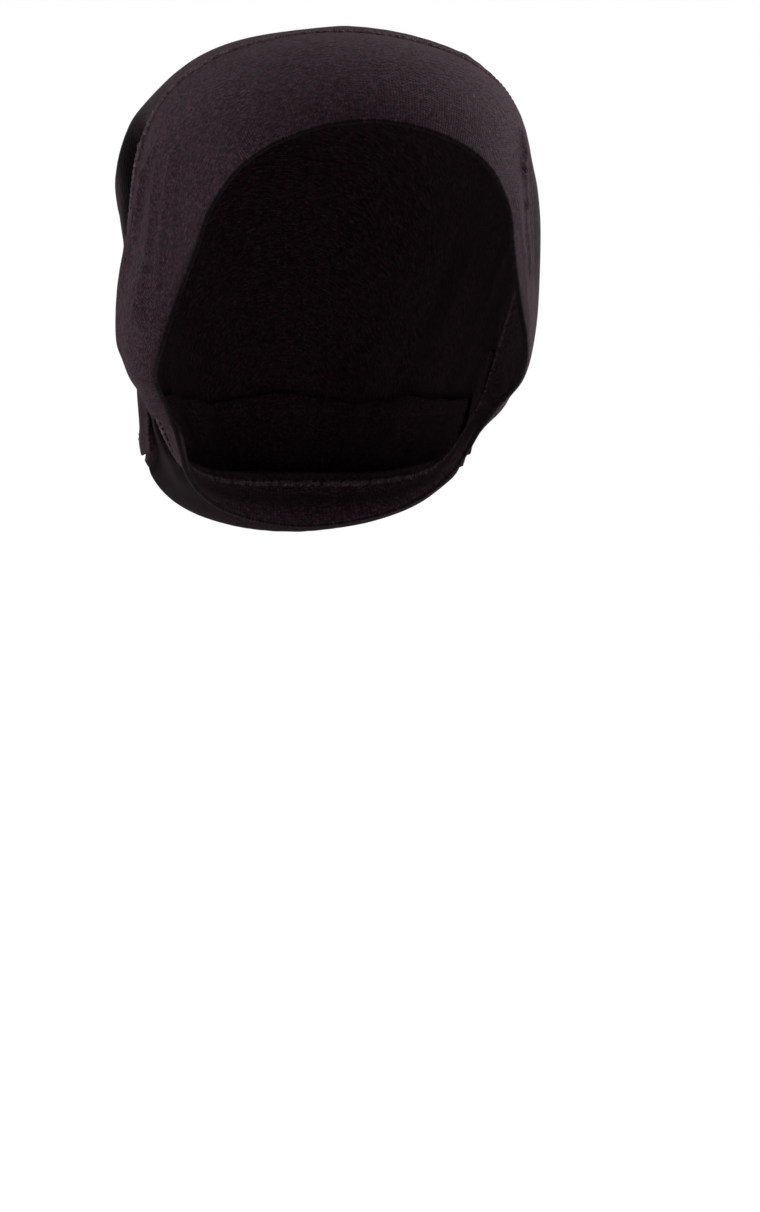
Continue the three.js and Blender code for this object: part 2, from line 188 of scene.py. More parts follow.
def ripple(a, b, seed, waves=5, scale=1.0):
    # smooth unevenness from a few waves, the same each run
    rng = np.random.default_rng(seed)
    total = 0
    for k in range(waves):
        angle, phase = rng.uniform(0, math.pi), rng.uniform(0, 2 * math.pi)
        size = scale * rng.uniform(0.6, 1.6)
        total = total + np.sin((a * math.cos(angle) + b * math.sin(angle)) * size + phase)
    return total / waves


def gridNormals(grid, closed):
    if closed:
        around = np.roll(grid, -1, axis=1) - np.roll(grid, 1, axis=1)
    else:
        around = np.gradient(grid, axis=1)
    return unit(np.cross(around, np.gradient(grid, axis=0)))


def buildMesh(name, verts, quads, uvs):
    mesh = bpy.data.meshes.new(name)
    mesh.from_pydata((verts * mm).tolist(), [], quads.tolist())
    layer = mesh.uv_layers.new(name="clothMap")
    layer.data.foreach_set("uv", uvs.reshape(-1, 2).astype(np.float32).ravel())
    mesh.polygons.foreach_set("use_smooth", [True] * len(mesh.polygons))
    mesh.update()
    mesh.validate()
    piece = bpy.data.objects.new(name, mesh)
    bpy.context.scene.collection.objects.link(piece)
    return piece


def clothPiece(name, outer, normals, wall, closed, u, v, shade, rimShade=0, rimSteps=3):
    # a closed wall of cloth on an outer grid, with rounded rims; u and v are its map in mm,
    # and shade and rimShade are painted shade: how much of the light its hollows and its rims lose in the colour
    rows, columns = outer.shape[:2]
    inner = outer - normals * wall
    verts = [outer.reshape(-1, 3), inner.reshape(-1, 3)]
    maps = [np.stack([u, v], -1), np.stack([u, v], -1)]
    last = columns if closed else columns - 1
    i, j = np.meshgrid(np.arange(rows - 1), np.arange(last), indexing="ij")
    i, j = i.ravel(), j.ravel()
    k = (j + 1) % columns
    a, b, c, d = i * columns + j, i * columns + k, (i + 1) * columns + k, (i + 1) * columns + j
    shift = rows * columns
    quads = [np.stack([a, b, c, d], -1), np.stack([a, d, c, b], -1) + shift]
    width = columns + 1 if closed else columns
    wide = [np.concatenate([m, m[:, :1] + [[[m[0, -1, 0] + m[0, 1, 0] - 2 * m[0, 0, 0], 0]]]], axis=1)
            if closed else m for m in maps]
    flat = wide[0].reshape(-1, 2)
    ua, ub, uc, ud = i * width + j, i * width + j + 1, (i + 1) * width + j + 1, (i + 1) * width + j
    uvs = [flat[np.stack([ua, ub, uc, ud], -1)], flat[np.stack([ua, ud, uc, ub], -1)]]
    # the rim runs along the first and last rows, and down both sides of an open piece
    if closed:
        loops = [([(0, q) for q in range(columns)], True), ([(rows - 1, q) for q in range(columns)], False)]
    else:
        ring = [(0, q) for q in range(columns)] + [(r, columns - 1) for r in range(1, rows)]
        ring += [(rows - 1, q) for q in range(columns - 2, -1, -1)] + [(r, 0) for r in range(rows - 2, 0, -1)]
        loops = [(ring, True)]
    count = 2 * shift
    for ring, forward in loops:
        ri, rj = np.array(ring).T
        here = outer[ri, rj]
        along = unit(np.roll(here, -1, axis=0) - np.roll(here, 1, axis=0))
        away = np.cross(along, normals[ri, rj]) * (1 if forward else -1)
        centre = here - normals[ri, rj] * wall / 2
        size = len(ring)
        angles = np.linspace(0, math.pi, rimSteps + 2)[1:-1]
        rim = [centre + (normals[ri, rj] * math.cos(t) - unit(away) * -math.sin(t)) * wall / 2 for t in angles]
        verts += rim
        lines = [ri * columns + rj] + [count + n * size + np.arange(size) for n in range(rimSteps)]
        lines.append(shift + ri * columns + rj)
        count += rimSteps * size
        uvHere = wide[0][ri, rj]
        uvNext = np.roll(uvHere, -1, axis=0)
        if closed:
            uvNext[-1] = wide[0][ri[-1], columns]
        q = np.arange(size)
        n = (q + 1) % size
        for top, low in zip(lines[:-1], lines[1:]):
            face = np.stack([top[q], low[q], low[n], top[n]], -1)
            uv = np.stack([uvHere, uvHere, uvNext, uvNext], 1)
            quads.append(face if forward else face[:, ::-1])
            uvs.append(uv if forward else uv[:, ::-1])
    piece = buildMesh(name, np.concatenate(verts), np.concatenate(quads), np.concatenate(uvs))
    # painted shade: shade and rimShade go into a point attribute that darkens the cloth's colour
    lost = np.concatenate([shade.ravel(), np.zeros(shift), np.full(count - 2 * shift, rimShade)])
    piece.data.attributes.new("paintedShade", "FLOAT", "POINT").data.foreach_set("value", lost.astype(np.float32))
    return piece


print("cap: front band")
frontBand = {
    "wall": 2.0,  # two layers of jersey, folded at the face edge
    # painted shade behind the pulled ridge on the right, in rows as the folds, with the share of the light it takes
    # away
    "shadow": [(0.146, 0.5, 0.23, 0.44, 0.1, 0.8)],
    "rimShade": 0.8,  # the fold turns under, out of the light
    # mm, how wide the painted shade along the turned-under face edge is
    "edgeShadeWidth": 1.9,
    "columns": 480,
    "rows": 64,
    "swell": [(0, 0), (0, 0), (0, 0), (0.01, 0.018), (0.025, 0.032), (0.045, 0.038), (0.095, 0.04),
              (0.1, 0.03), (0, 0.01), (0, 0), (0, 0), (0, 0)],  # left, right
    "folds": [
        (-0.16, 0.58, -0.258, 0.38, 0.07, 0.014), (-0.15, 0.45, -0.233, 0.24, 0.06, 0.012),
        (-0.155, 0.06, -0.225, 0.07, 0.06, 0.012), (-0.17, 0.74, -0.245, 0.84, 0.06, 0.018),
        (-0.2, 0.68, -0.25, 0.68, 0.06, -0.014), (-0.33, 0.75, -0.362, 0.05, 0.09, 0.03),
        (-0.375, 0.8, -0.4, 0.15, 0.09, -0.03), (0.136, 0.41, 0.22, 0.25, 0.06, 0.014),
        (0.16, 0.48, 0.24, 0.42, 0.07, -0.016), (0.14, 0.1, 0.25, 0.1, 0.06, 0.012),
        (0.335, 0.75, 0.362, 0.05, 0.09, 0.025), (0.378, 0.8, 0.4, 0.15, 0.09, -0.025),
    ],
    "ridges": [  # the thin pulled ridges that run down past the ears
        (-0.335, 0.56, -0.356, 0.417, 0.02, 0.01), (-0.356, 0.417, -0.371, 0, 0.02, 0.01),
        (-0.372, 0.5, -0.392, 0.05, 0.06, -0.022), (-0.167, 0.58, -0.258, 0.37, 0.018, 0.005),
        (0.145, 0.78, 0.175, 0.74, 0.07, -0.018),
        (0.138, 0.64, 0.162, 0.61, 0.07, -0.026), (-0.314, 0.8, -0.338, 0.6, 0.075, -0.07), (-0.306, 0.52, -0.325, 0.4, 0.06, -0.02),
       
        (-0.262, 0.8, -0.298, 0.7, 0.08, 0.018), (-0.161, 0.68, -0.188, 0.73, 0.026, 0.014), (-0.188, 0.73, -0.225, 0.77, 0.026, 0.016),
        (-0.18, 0.87, -0.225, 0.89, 0.03, -0.014), (-0.146, 0.48, -0.233, 0.25, 0.02, 0.004),
        (-0.161, 0.35, -0.212, 0.167, 0.022, 0.004), (-0.167, 0.73, -0.244, 0.85, 0.02, -0.006),
        (0.136, 0.417, 0.222, 0.25, 0.02, 0.005), (0.131, 0.083, 0.195, 0.14, 0.02, 0.008),
        (0.195, 0.14, 0.254, 0.083, 0.02, 0.006), (0.126, 0.52, 0.137, 0.3, 0.025, 0.013),
        (0.137, 0.3, 0.161, 0.233, 0.022, 0.015), (0.161, 0.233, 0.215, 0.21, 0.02, 0.013),
        (0.145, 0.46, 0.19, 0.4, 0.045, -0.012),
    ],
}


def makeFrontBand(spec):
    columns, rows = spec["columns"], spec["rows"]
    turn = np.arange(columns) / columns
    point, along, back, out = seamFrame(turn)
    at, length = evenly(overForm(ringPoint(edgeRing, turn), point), columns)
    edgeStart = spec["wall"] / 2 / length
    share = edgeStart + (1 - edgeStart) * np.linspace(0, 1, rows)[:, None]
    around = np.where(turn < 0.5, turn, turn - 1)[None, :]
    ringLength = np.sum(np.linalg.norm(np.diff(ringPoint(edgeRing, np.append(turn, 1)), axis=0), axis=-1))
    swellRows = np.array(spec["swell"])
    swellRing = np.concatenate([swellRows[:, 1], swellRows[1:-1, 0][::-1]])[:, None]
    swell = np.interp(np.mod(turn, 1) * len(swellRing), np.arange(len(swellRing) + 1),
                      np.append(swellRing[:, 0], swellRing[0, 0])) * halfBreadth
    kernel = np.exp(-np.linspace(-2.5, 2.5, 41) ** 2)
    swell = np.convolve(np.concatenate([swell[-20:], swell, swell[:20]]), kernel / kernel.sum(), "valid")
    lift = swell + foldHeight(spec["folds"] + spec["ridges"], around, share, ringLength, length)
    fromSeam = (1 - share) * length
    turnMm = turn[None, :] * ringLength
    lift = lift * np.sin(math.pi * share) ** 0.7
    # small puckers where the band is sewn, and a soft unevenness all over
    lift += 0.16 * np.sin(turnMm * 2 * math.pi / 6.3 + 1.5 * ripple(turnMm, 0, 3, 4, 0.07)) * np.exp(-fromSeam / 5)
    lift += 0.22 * ripple(turnMm, share * 60, 5, 7, 0.11) * smoothStep(share, 0, 0.15)
    grid = at(share, lift)
    normals = gridNormals(grid, True)
    normals[-1] = out
    u = np.repeat(turnMm, rows, axis=0)
    # painted shade: past the temples the face edge turns under, and its colour is darkened in a strip
    shade = 0.9 * np.exp(-(share * length / spec["edgeShadeWidth"]) ** 2) * smoothStep(np.abs(around), 0.08, 0.2)
    shade = shade + foldHeight(spec["shadow"], around, share, ringLength, length) / halfBreadth
    return clothPiece("front_band_cloth", grid, normals, spec["wall"], True, u, share * length,
                      np.clip(shade, 0, 1), spec["rimShade"], 7)


bandCloth = makeFrontBand(frontBand)

print("cap: crown panel")
crownPanel = {
    "wall": 1.2,
    "columns": 300,
    "rows": 96,
    "mouthBreadth": 125,
    "mouthLength": 66,
    "mouthCorner": 35,
    "mouthDrop": 153,
    "mouthAngle": 1.57,
    "mouthHook": 1.5,
    "hemDepth": 9,
    "hemWall": 2.2,
    # the lip of the pocket behind the left seam leans forward over it
    "lip": {"around": -0.61, "span": 0.1, "share": 0.22, "width": 0.05, "lean": 0.03},
    "darkFrom": (3, 8),  # mm deep, where a fold starts to lose the light and where it has lost it
    # painted shade rows: the pocket behind the left seam and the cloth above it
    "shadow": [(-0.47, 0.04, -0.52, 0.24, 0.13, 0.75), (-0.54, 0.2, -0.7, 0.2, 0.1, 1)],  # as the folds, with a share of the light
    "folds": [
        (-0.54, 0.1, -0.74, 0.11, 0.09, -0.075), (0.56, 0.1, 0.74, 0.11, 0.09, -0.045),
        (-0.69, 0.4, -0.85, 0.34, 0.28, -0.055), (-0.52, 0.62, -0.5, 1, 0.15, -0.04),
        (-0.25, 0.52, -0.24, 1, 0.16, 0.045), (0, 0.6, 0, 1, 0.15, -0.05),
        (0.24, 0.5, 0.25, 1, 0.16, 0.045), (0.5, 0.6, 0.5, 1, 0.14, -0.04),
    ],
    "creases": [  # small creases by the ears and drape lines down the back
        (-0.1, 0.12, -0.3, 0.18, 0.12, -0.016), (0.02, 0.05, 0.22, 0.04, 0.12, 0.014),
        (0.27, 0.03, 0.34, 0.03, 0.06, 0.012), (0.42, 0.03, 0.56, 0.05, 0.08, -0.018),
        (-0.79, 0.64, -0.83, 0.82, 0.1, -0.03), (-0.72, 0.74, -0.76, 0.88, 0.07, -0.062),
        (-0.86, 0.94, -0.9, 1, 0.07, 0.018),
        (0.5, 0.03, 0.62, 0.05, 0.08, -0.014), (-0.52, 0.44, -0.58, 0.5, 0.12, -0.02),
        (-0.53, 0.13, -0.7, 0.14, 0.09, -0.09), (-0.56, 0.16, -0.68, 0.165, 0.08, -0.08),
        (-0.54, 0.29, -0.62, 0.28, 0.05, 0.008),
        (-0.72, 0.13, -0.88, 0.24, 0.06, -0.03), (-0.46, 0.2, -0.54, 0.23, 0.13, 0.02),
        (-0.5, 0.15, -0.57, 0.05, 0.018, 0.022),
        (-0.78, 0.2, -0.83, 0.5, 0.05, 0.012), (0.6, 0.17, 0.7, 0.2, 0.03, 0.01),
        (-0.38, 0.3, -0.4, 0.95, 0.07, 0.014), (-0.13, 0.4, -0.1, 1, 0.06, 0.012),
        (0.12, 0.35, 0.11, 1, 0.06, 0.012), (0.37, 0.3, 0.38, 0.95, 0.07, 0.014),
        (0.68, 0.35, 0.66, 0.9, 0.07, -0.012), (-0.66, 0.55, -0.64, 0.95, 0.06, -0.012),
    ],
}


def mouthPoint(spec, around):
    angle = spec["mouthAngle"] * around
    hook = np.sign(around) * smoothStep(np.abs(around), 0.92, 1) * spec["mouthHook"]
    x = np.sin(angle) * spec["mouthBreadth"] / 2 - hook
    y = spec["mouthCorner"] + np.cos(angle) * spec["mouthLength"]
    return np.stack([x, y, np.full_like(x, -spec["mouthDrop"])], -1)


def crownWay(spec, around):
    columns = len(around)
    point, along, back, out = seamFrame(around * cornerTurn)
    start = point + back * capForm["seamKeep"]
    end = mouthPoint(spec, around)
    reach = 0.4 * np.linalg.norm(end - start, axis=-1) * (1 - around ** 4)
    bend = start + np.stack([0 * reach, reach, 0 * reach], -1)
    side = around ** 2
    at, length = evenly(overForm(start, end, bend, 0.3, 0.4 * (1 - side), 1 - 0.35 * side), columns)
    panelLength = halfBreadth + capForm["drop"] / 2

    def line(share):
        lift = foldHeight(spec["folds"] + spec["creases"], around[None, :], share, panelLength, length)
        lift = lift * smoothStep(share * length, 0, 6) * (1 - smoothStep(np.abs(around), 0.85, 1))
        aroundMm = around[None, :] * panelLength
        pucker = np.sin(aroundMm * 2 * math.pi / 7.1 + 1.6 * ripple(aroundMm, 0, 8, 4, 0.06))
        lift = lift + 0.2 * pucker * np.exp(-share * length / 6)
        lift = lift + 0.3 * ripple(aroundMm, share * length, 11, 7, 0.09) * smoothStep(share, 0, 0.1)
        lip = spec["lip"]
        nearLip = ((around[None, :] - lip["around"]) / lip["span"]) ** 2 + ((share - lip["share"]) / lip["width"]) ** 2
        return at(share - lip["lean"] * np.exp(-nearLip), lift)

    return line, length, out, panelLength


def makeCrownPanel(spec):
    around = np.linspace(-1, 1, spec["columns"])
    line, length, out, panelLength = crownWay(spec, around)
    share = np.linspace(0, 1, spec["rows"])[:, None] ** 1.15 * np.ones((1, spec["columns"]))
    grid = line(share)
    normals = gridNormals(grid, False)
    normals[0] = out
    u = around[None, :] * panelLength * np.ones_like(share)
    # painted shade: the colour darkens in deep folds and along the shadow rows
    deep = -foldHeight(spec["folds"] + spec["creases"], around[None, :], share, panelLength, length)
    shade = smoothStep(deep, *spec["darkFrom"])
    shade = shade + foldHeight(spec["shadow"], around[None, :], share, panelLength, length) / halfBreadth
    return clothPiece("crown_panel_cloth", grid, normals, spec["wall"], False, u, share * length, np.clip(shade, 0, 1))


def makeOpenHem(spec):
    # the turned-up layer inside the end of the panel
    around = np.linspace(-0.998, 0.998, spec["columns"])
    line, length, out, panelLength = crownWay(spec, around)
    steps = np.linspace(0, 1, 14)[:, None]
    share = 1 - (spec["hemDepth"] * (1 - steps) + 0.2) / length
    fine = np.linspace(0.8, 1, 30)[:, None] * np.ones((1, spec["columns"]))
    normals = gridNormals(line(fine), False)[-1]
    grid = line(share) - normals * (spec["wall"] - 0.15)
    u = around[None, :] * panelLength * np.ones_like(share)
    return clothPiece("open_hem_cloth", grid, np.broadcast_to(normals, grid.shape).copy(), 1.1, False,
                      u, share * length, np.zeros_like(u))


crownCloth = makeCrownPanel(crownPanel)
hemCloth = makeOpenHem(crownPanel)

print("cap: nape panel")
napePanel = {
    "wall": 1.2,
    "columns": 180,
    "rows": 70,
    "span": 1.0,
    "tuckSpan": 0.86,
    "footInset": 13,
    "sideInset": 0.5,
    "sideHook": 4,
    "turnOver": 4.5,
    "tuckGap": 1.6,
    "tuckHeight": 22,
    "sideTuck": 1.2,
    "endTuck": 2.3,
    "endLap": 1.4,  # how far its top edge passes below the roll at the two ends
    "endShare": 0.55,
    "footRound": 2,
    "sideRise": 5,
    "folds": [(-0.68, 0.54, -0.3, 0.52, 0.17, -0.012)],
    "shade": 0.45,  # it lies in the shadow of the rest
}


def openCurve(points, share):
    # a smooth line through points, with the share counted in even lengths
    first, last = 2 * points[0] - points[1], 2 * points[-1] - points[-2]
    knots = np.concatenate([[first], points, [last]])
    count = len(points) - 1
    t = np.linspace(0, count, 40 * count + 1)
    low = np.minimum(t.astype(int), count - 1)
    s = (t - low)[:, None]
    p0, p1, p2, p3 = [knots[low + k] for k in range(4)]
    d0, d1, d2 = [np.linalg.norm(b - a, axis=-1, keepdims=True) ** 0.5 for a, b in ((p0, p1), (p1, p2), (p2, p3))]
    t1 = ((p1 - p0) / d0 - (p2 - p0) / (d0 + d1) + (p2 - p1) / d1) * d1
    t2 = ((p2 - p1) / d1 - (p3 - p1) / (d1 + d2) + (p3 - p2) / d2) * d1
    line = p1 + s * t1 + s ** 2 * (3 * (p2 - p1) - 2 * t1 - t2) + s ** 3 * (2 * (p1 - p2) + t1 + t2)
    run = np.concatenate([[0], np.cumsum(np.linalg.norm(np.diff(line, axis=0), axis=-1))])
    return np.stack([np.interp(share * run[-1], run, line[:, k]) for k in range(3)], -1), run[-1]


def makeNapePanel(spec, crown):
    around = spec["span"] * np.linspace(1, -1, spec["columns"])
    point, along, back, out = seamFrame(0.5 - around * (0.5 - cornerTurn))
    atEnd = smoothStep(np.abs(around), spec["endShare"], 1)[:, None]
    start = point + back * (capForm["seamKeep"] - spec["endLap"] * atEnd) - out * spec["endTuck"] * atEnd
    middle = np.cos(around * math.pi / 2)[:, None]
    mix = lambda a, b: a + (b - a) * middle
    over = start + back * spec["turnOver"] + out * mix(-spec["sideTuck"] / 2, spec["turnOver"] / 5)
    down = start + back * spec["turnOver"] + out * mix(-spec["sideTuck"], spec["turnOver"])
    # where it comes up inside the crown panel
    inside = np.sort(spec["tuckSpan"] * around)
    line, length, seamOut, panelLength = crownWay(crown, inside)
    fine = np.linspace(0.5, 1, 60)[:, None] * np.ones((1, len(inside)))
    surface = line(fine)
    surface = surface - gridNormals(surface, False) * (crown["hemWall"] + spec["tuckGap"])
    depths = [0, spec["tuckHeight"] / 2, spec["tuckHeight"]]
    hook = (np.sign(around) * smoothStep(np.abs(around), 0.75, 1))[:, None]
    sine = np.sin(around * math.pi / 2)[:, None]
    foot = np.concatenate([
        sine * (crown["mouthBreadth"] / 2 - spec["sideInset"]) - hook * spec["sideHook"],
        crown["mouthCorner"] + middle * (crown["mouthLength"] - spec["footInset"]),
        (spec["sideRise"] - crown["mouthDrop"])
        + (spec["footRound"] - capForm["drop"] - spec["sideRise"] + crown["mouthDrop"]) * middle ** 0.9,
    ], axis=1)
    belly = (down + foot) / 2 - out * spec["sideTuck"] * (1 - middle)
    share = np.linspace(0, 1, spec["rows"]) ** 1.15
    grid = np.empty((spec["rows"], spec["columns"], 3))
    v = np.empty(grid.shape[:2])
    for j in range(spec["columns"]):
        column = len(inside) - 1 - j
        tucked = []
        for depth in depths:
            at = (1 - depth / length[column] - 0.5) / 0.5 * 59
            tucked.append(np.array([np.interp(at, np.arange(60), surface[:, column, k]) for k in range(3)]))
        grid[:, j], size = openCurve(np.array([start[j], over[j], down[j], belly[j], foot[j]] + tucked), share)
        v[:, j] = share * size
    u = around[None, :] * 150 * np.ones_like(v)
    normals = gridNormals(grid, False)
    normals[0] = out
    lift = 0.35 * ripple(u, v, 21, 7, 0.11) + foldHeight(spec["folds"], around[None, :], share[:, None], 75, v[-1])
    lift = lift * smoothStep(share, 0, 0.15)[:, None]
    grid = grid + normals * lift[..., None]
    return clothPiece("nape_panel_cloth", grid, normals, spec["wall"], False, -u, v, np.full_like(v, spec["shade"]))


napeCloth = makeNapePanel(napePanel, crownPanel)

print("cap: rolled crown seam")
crownSeam = {
    "width": 2.6,
    "rise": 1.5,
    "faceSlope": 1.45,  # how much further it reaches towards the face
    "stand": (-0.195, 0.05, 1.0),  # it stands up by the left pocket: where, how far along, and mm
    "stitch": 2.6,  # one loop of the overlock thread
    "sides": 12,
    "perStitch": 8,
}


def standUp(spec, turn):
    middle, spread, height = spec["stand"]
    return (height * np.exp(-((np.where(turn > 0.5, turn - 1, turn) - middle) / spread) ** 2))[..., None]


def makeSeamRoll(spec):
    ringLength = np.sum(np.linalg.norm(np.diff(ringPoint(seamRing, np.linspace(0, 1, 800)), axis=0), axis=-1))
    loops = round(ringLength / spec["stitch"])
    columns = loops * spec["perStitch"]
    turn = np.arange(columns) / columns
    point, along, back, out = seamFrame(turn)
    seat = point + out * (standUp(spec, turn) - capForm["bodyWall"] / 2)
    angle = -2 * math.pi * np.arange(spec["sides"])[:, None] / spec["sides"]
    twist = 2 * math.pi * loops * turn[None, :]
    swell = 1 + 0.09 * np.sin(twist + 0.9 * np.cos(angle)) + 0.05 * ripple(turn[None, :] * ringLength, angle, 31, 4, 0.3)
    reach = np.where(np.cos(angle) < 0, spec["faceSlope"], 1)
    across = np.cos(angle) * reach * spec["width"] / 2 * swell
    rise = np.sin(angle) * spec["rise"] * swell
    grid = seat + across[..., None] * back + rise[..., None] * out
    rows = spec["sides"]
    i, j = np.meshgrid(np.arange(rows), np.arange(columns), indexing="ij")
    i, j = i.ravel(), j.ravel()
    n, k = (i + 1) % rows, (j + 1) % columns
    quads = np.stack([i * columns + j, i * columns + k, n * columns + k, n * columns + j], -1)
    u0, u1 = j / columns * ringLength, (j + 1) / columns * ringLength
    v0, v1 = i * 0.7, (i + 1) * 0.7
    uvs = np.stack([np.stack([u0, v0], -1), np.stack([u1, v0], -1), np.stack([u1, v1], -1), np.stack([u0, v1], -1)], 1)
    return buildMesh("crown_seam_roll", grid.reshape(-1, 3), quads, uvs)


seamRoll = makeSeamRoll(crownSeam)

print("cap: stitches")


def stitchShape(length, width, height):
    # one short thread, thick in the middle and sinking at both ends
    for piece in bpy.context.selected_objects:
        piece.select_set(False)
    bpy.ops.mesh.primitive_uv_sphere_add(segments=8, ring_count=6, radius=0.5, location=(0, 0, 0))
    shape = bpy.context.object
    verts = np.array([v.co for v in shape.data.vertices])
    faces = [list(p.vertices) for p in shape.data.polygons]
    verts = verts[:, [2, 1, 0]] * [length, width, height]
    verts[:, 2] -= (verts[:, 0] / length) ** 2 * height * 1.6
    mesh = shape.data
    bpy.data.objects.remove(shape)
    bpy.data.meshes.remove(mesh)
    return verts, [f[::-1] for f in faces]


def stitchPiece(name, rows, shape):
    # copies of one thread, on rows of: places, directions and outward normals
    verts, faces = shape
    allVerts, allFaces = [], []
    for places, ways, normals in rows:
        x = unit(ways - np.sum(ways * normals, axis=-1, keepdims=True) * normals)
        y = np.cross(normals, x)
        for p, a, b, c in zip(places, x, y, normals):
            shift = len(allVerts) * len(verts)
            allVerts.append(p + verts[:, :1] * a + verts[:, 1:2] * b + verts[:, 2:] * c)
            allFaces += [[v + shift for v in f] for f in faces]
    mesh = bpy.data.meshes.new(name)
    mesh.from_pydata((np.concatenate(allVerts) * mm).tolist(), [], allFaces)
    mesh.polygons.foreach_set("use_smooth", [True] * len(mesh.polygons))
    mesh.update()
    piece = bpy.data.objects.new(name, mesh)
    bpy.context.scene.collection.objects.link(piece)
    return piece


def makeSeamStitches(spec):
    # the needle thread shows as short dashes in the ditch between the roll and the band
    ringLength = np.sum(np.linalg.norm(np.diff(ringPoint(seamRing, np.linspace(0, 1, 800)), axis=0), axis=-1))
    loops = round(ringLength / spec["stitch"])
    turn = (np.arange(loops) + 0.25) / loops
    point, along, back, out = seamFrame(turn)
    ditch = point - back * (spec["width"] / 2 * spec["faceSlope"] - 0.1) + out * (0.35 + 0.6 * standUp(spec, turn))
    return stitchPiece("crown_seam_stitches", [(ditch, along, unit(out - 0.3 * back))], stitchShape(1.5, 0.8, 0.6))


def makeHemStitches(spec):
    # two lines of thread along the hem
    rows = []
    around = np.linspace(-0.985, 0.985, 92)
    line, length, out, panelLength = crownWay(spec, around)
    for up in (6.2, 7.8):
        fine = 1 - (up + np.array([0.6, 0.3, 0, -0.3, -0.6]))[:, None] / length
        grid = line(fine)
        normals = gridNormals(grid, False)[2]
        rows.append((grid[2] + normals * 0.12, np.gradient(grid[2], axis=0), normals))
    return stitchPiece("open_hem_stitches", rows, stitchShape(2.1, 0.42, 0.36))


seamStitches = makeSeamStitches(crownSeam)
hemStitches = makeHemStitches(crownPanel)

print("cap: materials")


def linear(hexCode):
    values = [int(hexCode[k:k + 2], 16) / 255 for k in (1, 3, 5)]
    return [v / 12.92 if v <= 0.04045 else ((v + 0.055) / 1.055) ** 2.4 for v in values] + [1]


def addNode(tree, kind, links=None, **settings):
    # links holds a value or another node's socket for each input
    made = tree.nodes.new(kind)
    for name, value in settings.items():
        setattr(made, name, value)
    for socket, value in (links or {}).items():
        if isinstance(value, bpy.types.NodeSocket):
            tree.links.new(value, made.inputs[socket])
        else:
            made.inputs[socket].default_value = value
    return made


def math2(tree, operation, a, b=0.0):
    return addNode(tree, "ShaderNodeMath", {0: a, 1: b}, operation=operation).outputs[0]


jerseyLook = {
    "yarn": "#361b27",  # plum black, as dyed
    "faded": "#272427",  # where the dye took less
    # painted shade: the near black put between the loops, where they sink
    "gapShade": "#060405",  # between the loops
    "fibre": "#56444a",  # loose fibres that catch the light
    "wale": 1.0,  # mm; the real one has a wale each 0.7 mm, which is too fine to show
    "course": 0.85,  # mm
}


